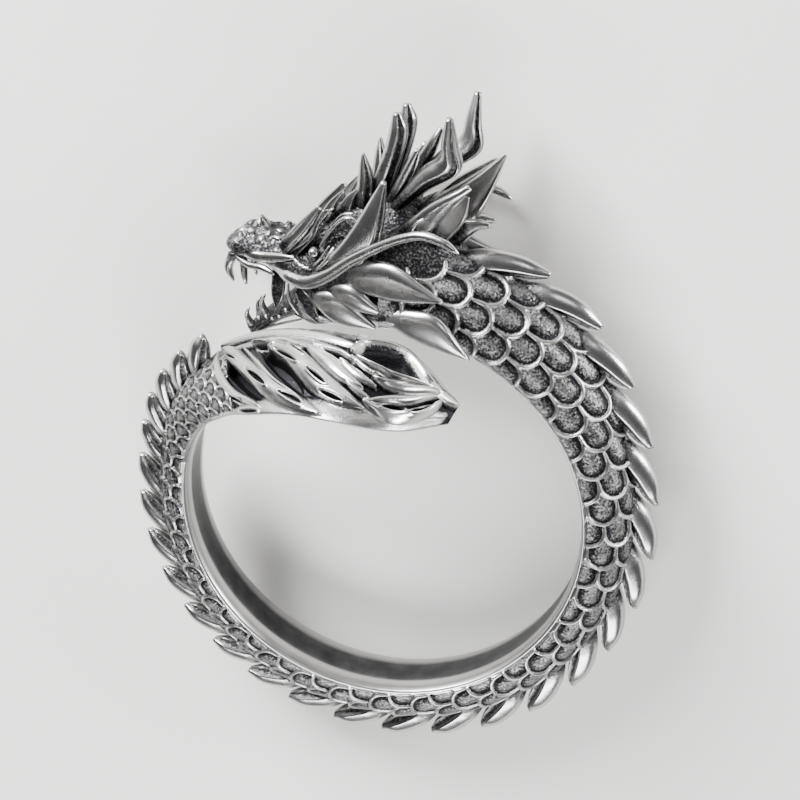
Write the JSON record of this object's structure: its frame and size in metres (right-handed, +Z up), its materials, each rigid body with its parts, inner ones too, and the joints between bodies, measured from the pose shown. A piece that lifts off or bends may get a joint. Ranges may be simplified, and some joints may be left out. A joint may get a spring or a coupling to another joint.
{
  "type": "dragon ring",
  "caption": "Open finger ring of darkened silver: a scaled dragon curls round the finger, its horned head beside a pierced tail tuft.",
  "frame": {"origin": "under the middle of the ring's box, on the surface that the ring lies on", "axes": "+Z up and nearly along the finger's axis, out of the side that the tuft leaves on; +Y to the dragon's horns; +X to the side where the neck joins the band, so that the head looks to -X"},
  "size_m": [0.026, 0.0336, 0.0139],
  "materials": {
    "darkened_silver": "cast silver, blackened in its recesses and polished on its edges"
  },
  "bodies": {
    "root": {"dragon_ring": "darkened_silver"}
  },
  "joints": []
}
